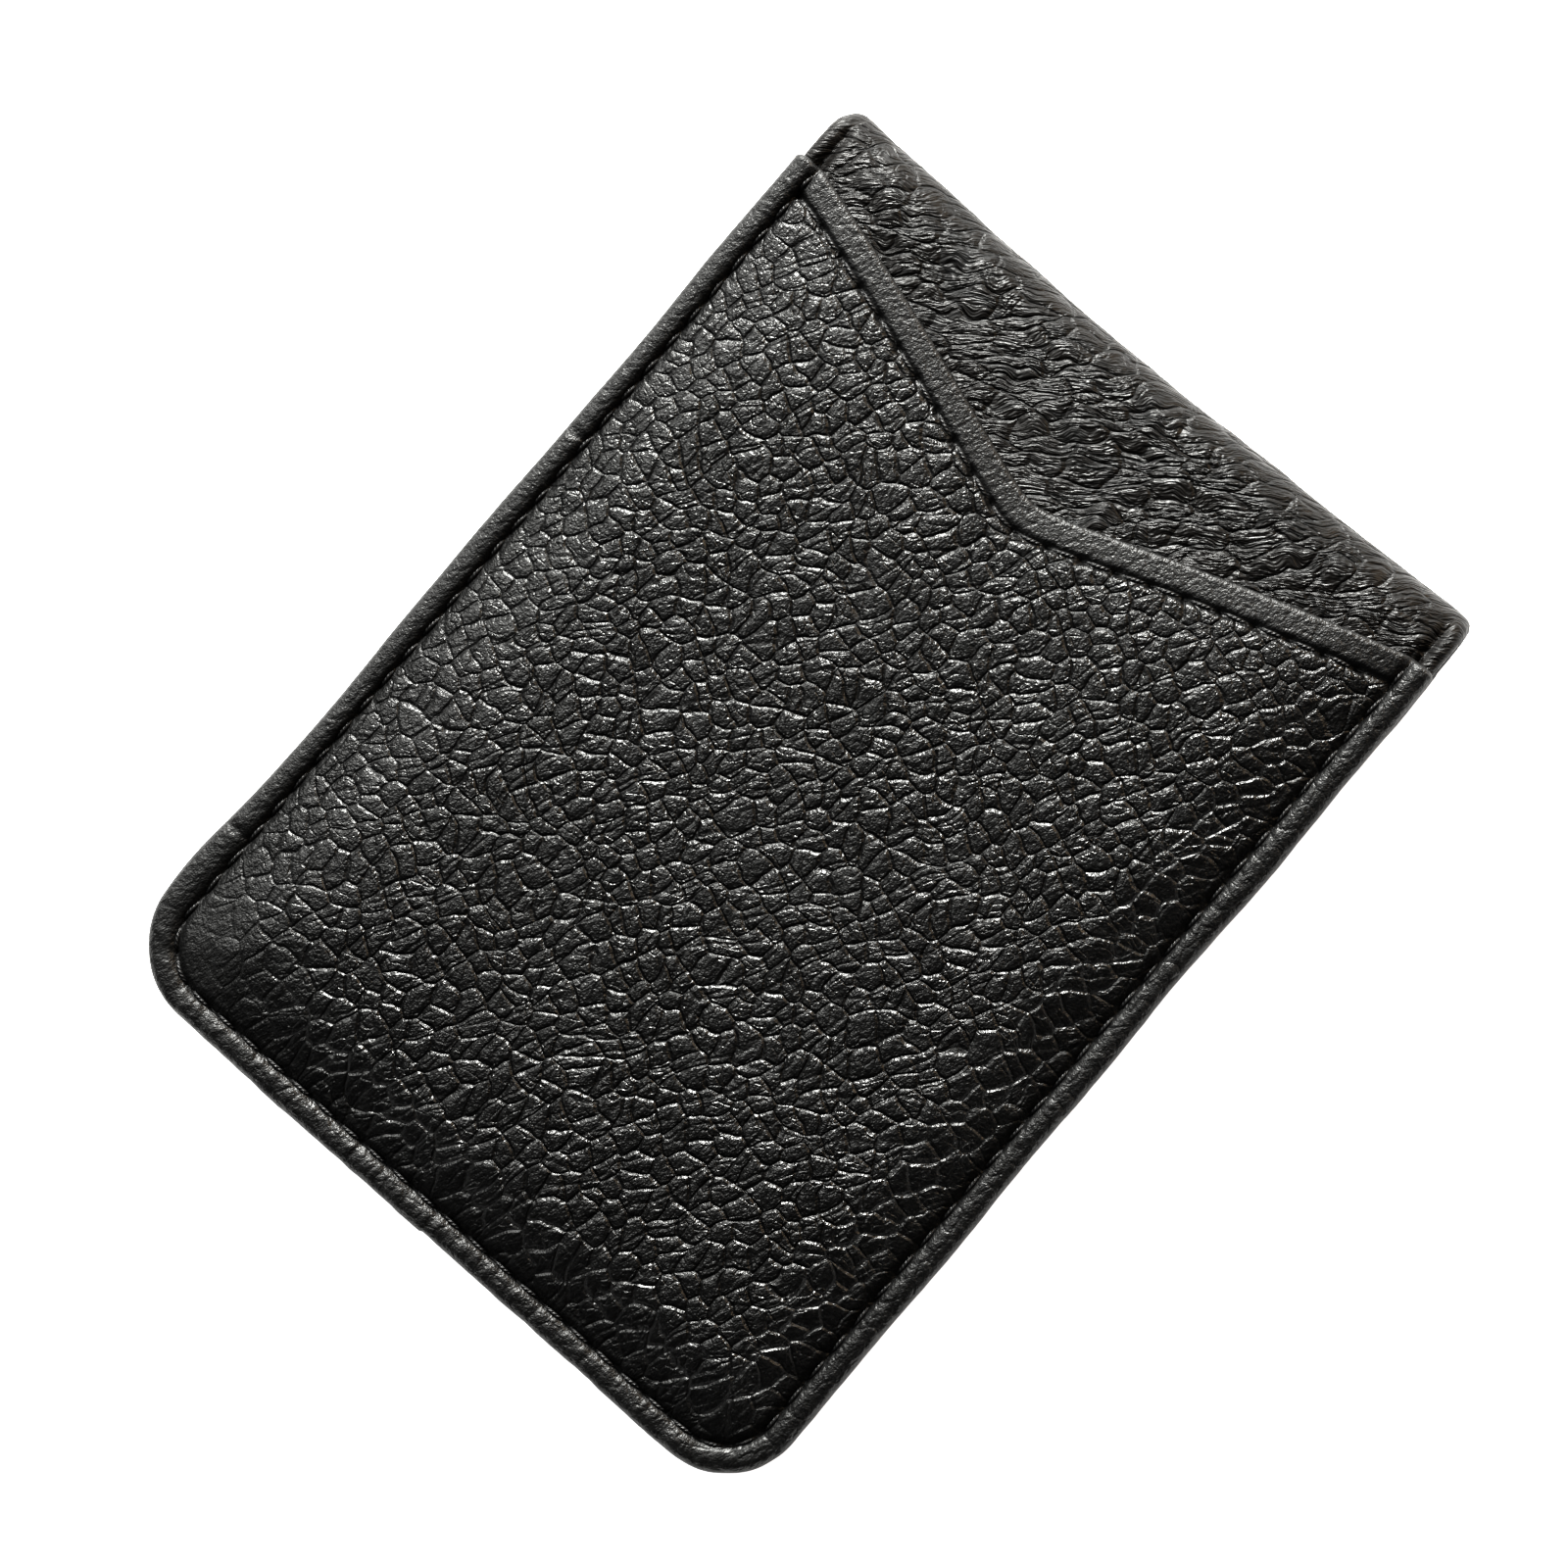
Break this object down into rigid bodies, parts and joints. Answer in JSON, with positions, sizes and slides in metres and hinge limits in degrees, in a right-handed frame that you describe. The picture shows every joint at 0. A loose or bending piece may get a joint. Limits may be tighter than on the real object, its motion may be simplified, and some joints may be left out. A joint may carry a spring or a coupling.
{
  "type": "card holder",
  "caption": "Slim portrait leather card holder that folds at the top like a notepad, with a V-mouthed outer pocket and stepped card slots inside.",
  "frame": {"origin": "middle of the closed holder's footprint, on the flat surface its back lies on", "axes": "+Y towards the fold at the top edge, +Z out of the front face with the V pocket, X along the fold"},
  "size_m": [0.075, 0.103, 0.0106],
  "materials": {
    "black_leather": "soft pebble grain, satin",
    "slot_leather": "fine grain, satin",
    "lining_cloth": "fine twill, matt",
    "board": "pressed fibre board, matt",
    "thread": "twisted waxed polyester, low sheen"
  },
  "bodies": {
    "back_leaf": {"back_cover_leather": "black_leather", "back_stiffener_board": "board", "back_inner_lining": "lining_cloth", "back_slot_panel_a": "slot_leather", "back_slot_panel_b": "slot_leather", "back_edge_stitching": "thread", "back_inner_edge_stitching": "thread", "back_slot_stitching_a": "thread", "back_slot_stitching_b": "thread", "fold_leather": "black_leather", "fold_lining": "lining_cloth"},
    "front_leaf": {"front_pocket_panel": "black_leather", "front_pocket_lining": "lining_cloth", "front_cover_leather": "black_leather", "front_stiffener_board": "board", "front_inner_lining": "lining_cloth", "front_slot_panel_a": "slot_leather", "front_slot_panel_b": "slot_leather", "front_edge_stitching": "thread", "front_inner_edge_stitching": "thread", "front_slot_stitching_a": "thread", "front_slot_stitching_b": "thread", "pocket_mouth_stitching": "thread"}
  },
  "joints": [
    {"name": "cover_fold", "type": "hinge", "parent": "back_leaf", "child": "front_leaf", "pos_m": [0, 0.0506, 0.0053], "axis": [-1, 0, 0], "range_deg": [0, 179], "deforming": ["fold_leather", "fold_lining"]}
  ]
}
